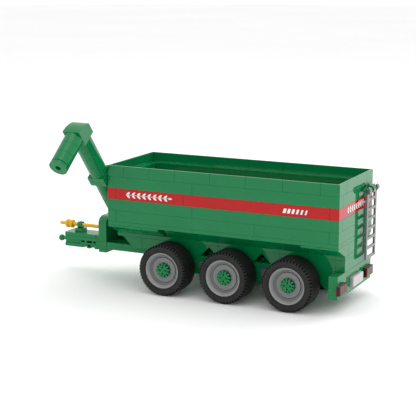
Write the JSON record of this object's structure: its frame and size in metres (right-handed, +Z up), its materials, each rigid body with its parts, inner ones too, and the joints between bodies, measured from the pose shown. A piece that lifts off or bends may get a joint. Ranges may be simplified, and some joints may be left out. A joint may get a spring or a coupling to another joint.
{
  "type": "gravity wagon",
  "caption": "Brick-built toy grain wagon: open hopper tank, axles with wide tyres, drawbar with ball and drive shaft, folding front auger with swivelling spout, rear ladder, lamps and bumper.",
  "frame": {"origin": "middle of the overall box, on the ground under the tyres", "axes": "+X from the tow ball towards the ladder, +Y away from the unloading auger, +Z up"},
  "size_m": [0.291, 0.1568, 0.1443],
  "materials": {
    "green_plastic": "gloss",
    "red_plastic": "gloss",
    "yellow_plastic": "gloss",
    "rim_grey_plastic": "satin",
    "dark_grey_plastic": "satin",
    "light_grey_plastic": "satin",
    "black_plastic": "gloss",
    "white_plastic": "satin",
    "red_lens": "gloss",
    "tyre_rubber": "matte"
  },
  "bodies": {
    "wagon_frame": {"tank_base_plates": "green_plastic", "wall_course_lowest": "green_plastic", "wall_course_lower": "green_plastic", "wall_course_red_stripe": "red_plastic", "wall_course_upper": "green_plastic", "rim_panels": "green_plastic", "hopper_corner_slopes": "green_plastic", "hopper_side_slopes": "green_plastic", "hopper_end_bricks": "green_plastic", "hopper_collar_plates": "green_plastic", "hopper_outlet_slopes": "green_plastic", "hopper_outlet_walls": "green_plastic", "chassis_upper_plates": "green_plastic", "chassis_lower_plates": "green_plastic", "axle_beams": "green_plastic", "bumper_braces": "green_plastic", "bumper_upper": "green_plastic", "bumper_lower": "green_plastic", "spring_pin_caps": "dark_grey_plastic", "drawbar_tiles": "green_plastic", "drawbar_long_plate": "green_plastic", "tow_ball_plate": "green_plastic", "drawbar_slotted_plate": "green_plastic", "drawbar_lower_plates": "green_plastic", "gearbox_foot_plate": "green_plastic", "gearbox_cheeks": "green_plastic", "gearbox_body": "green_plastic", "gearbox_cover": "green_plastic", "shaft_clip": "green_plastic", "auger_boot": "green_plastic", "auger_lower_tube": "green_plastic", "auger_lower_flange": "green_plastic", "auger_hinge_pin": "green_plastic", "ladder_bracket": "green_plastic", "lamp_housings": "black_plastic", "lamp_lenses": "red_lens", "number_plate_backing": "white_plastic", "number_plate_face": "white_plastic"},
    "auger_upper_section": {"auger_upper_flange": "green_plastic", "auger_upper_tube": "green_plastic", "auger_swivel_peg": "dark_grey_plastic"},
    "auger_delivery_head": {"auger_head": "green_plastic", "auger_spout": "green_plastic", "spout_end_ring": "green_plastic"},
    "ladder_frame": {"ladder": "light_grey_plastic"},
    "power_shaft": {"drive_shaft": "yellow_plastic", "shaft_bush": "yellow_plastic"},
    "front_wheelset": {"front_axle": "dark_grey_plastic", "front_rims": "rim_grey_plastic", "front_tyres": "tyre_rubber", "front_hub_caps": "green_plastic"},
    "middle_wheelset": {"middle_axle": "dark_grey_plastic", "middle_rims": "rim_grey_plastic", "middle_tyres": "tyre_rubber", "middle_hub_caps": "green_plastic"},
    "rear_wheelset": {"rear_axle": "dark_grey_plastic", "rear_rims": "rim_grey_plastic", "rear_tyres": "tyre_rubber", "rear_hub_caps": "green_plastic"}
  },
  "joints": [
    {"name": "front_axle_roll", "type": "hinge", "parent": "wagon_frame", "child": "front_wheelset", "pos_m": [-0.01392, 0.02894, 0.0216], "axis": [0, 1, 0], "continuous": true},
    {"name": "middle_axle_roll", "type": "hinge", "parent": "wagon_frame", "child": "middle_wheelset", "pos_m": [0.04208, 0.02894, 0.0216], "axis": [0, 1, 0], "continuous": true},
    {"name": "rear_axle_roll", "type": "hinge", "parent": "wagon_frame", "child": "rear_wheelset", "pos_m": [0.09807, 0.02894, 0.0216], "axis": [0, 1, 0], "continuous": true},
    {"name": "auger_fold", "type": "hinge", "parent": "wagon_frame", "child": "auger_upper_section", "pos_m": [-0.07812, -0.00048, 0.10147], "axis": [-1, 0, 0], "range_deg": [0, 110]},
    {"name": "head_swivel", "type": "hinge", "parent": "auger_upper_section", "child": "auger_delivery_head", "pos_m": [-0.07812, -0.03756, 0.13104], "axis": [0, -0.6361, 0.7716], "range_deg": [-90, 90]},
    {"name": "ladder_swing", "type": "hinge", "parent": "wagon_frame", "child": "ladder_frame", "pos_m": [0.14238, 0.05294, 0.0918], "axis": [0, -1, 0], "range_deg": [-2.5, 100]},
    {"name": "shaft_spin", "type": "hinge", "parent": "wagon_frame", "child": "power_shaft", "pos_m": [-0.12333, 0.02894, 0.041], "axis": [1, 0, 0], "continuous": true}
  ]
}
